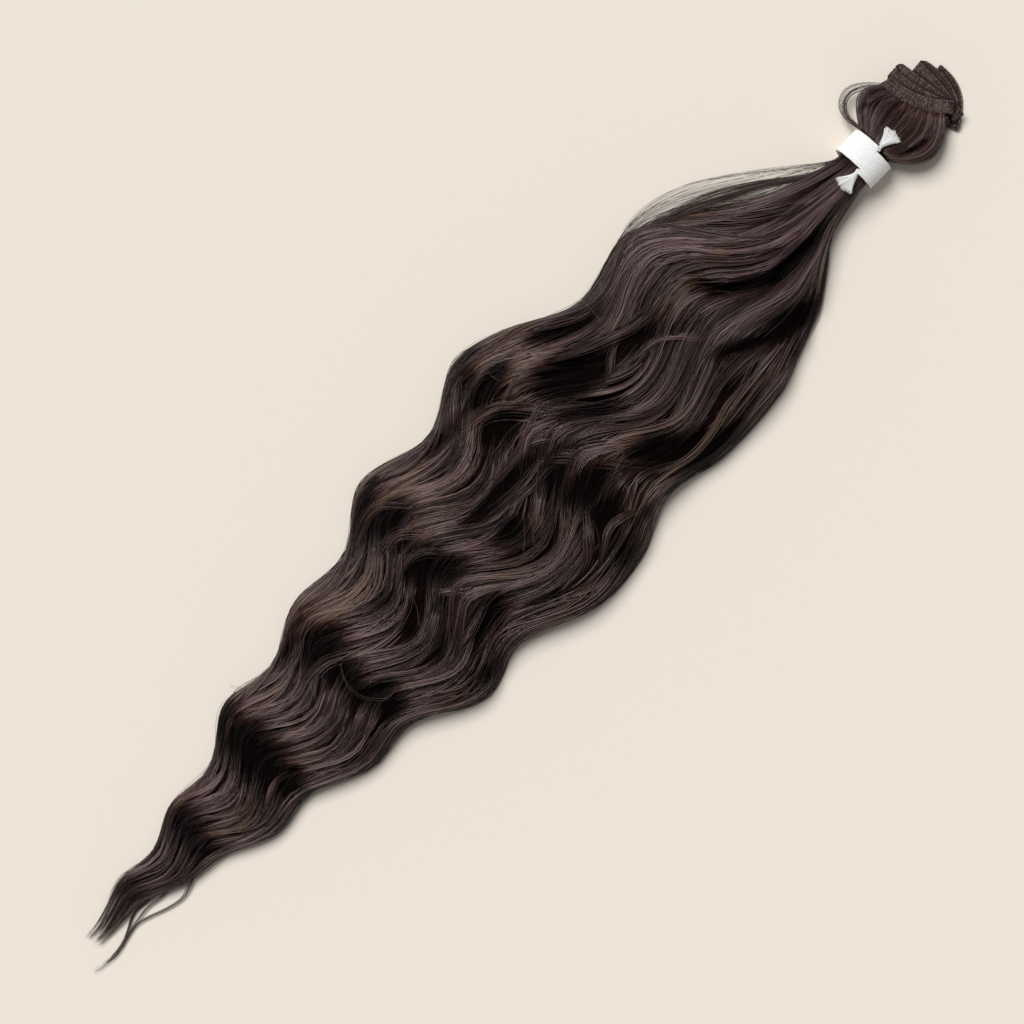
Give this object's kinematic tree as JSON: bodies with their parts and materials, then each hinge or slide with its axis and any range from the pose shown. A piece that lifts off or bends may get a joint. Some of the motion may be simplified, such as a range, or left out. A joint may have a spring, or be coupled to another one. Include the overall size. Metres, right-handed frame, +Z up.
{
  "type": "hair weft",
  "caption": "Long waved hair weft: dark hair hanging from a folded sewn track, gathered at the neck by a wound cotton cord, laid flat.",
  "frame": {"origin": "middle of the weft's outline in plan, on the surface it lies on", "axes": "+X along the hair from the tips to the track, +Z up out of the surface, +Y to the left of that"},
  "size_m": [0.72, 0.1598, 0.0309],
  "materials": {
    "hair": "dark brown waved hair fibre with a soft sheen",
    "track": "hair machine-sewn into a narrow track with dark olive thread, matt",
    "cord": "white twisted cotton cord, matt"
  },
  "bodies": {
    "root": {"hair_lengths": "hair", "weft_track": "track", "tie_cord": "cord"}
  },
  "joints": []
}
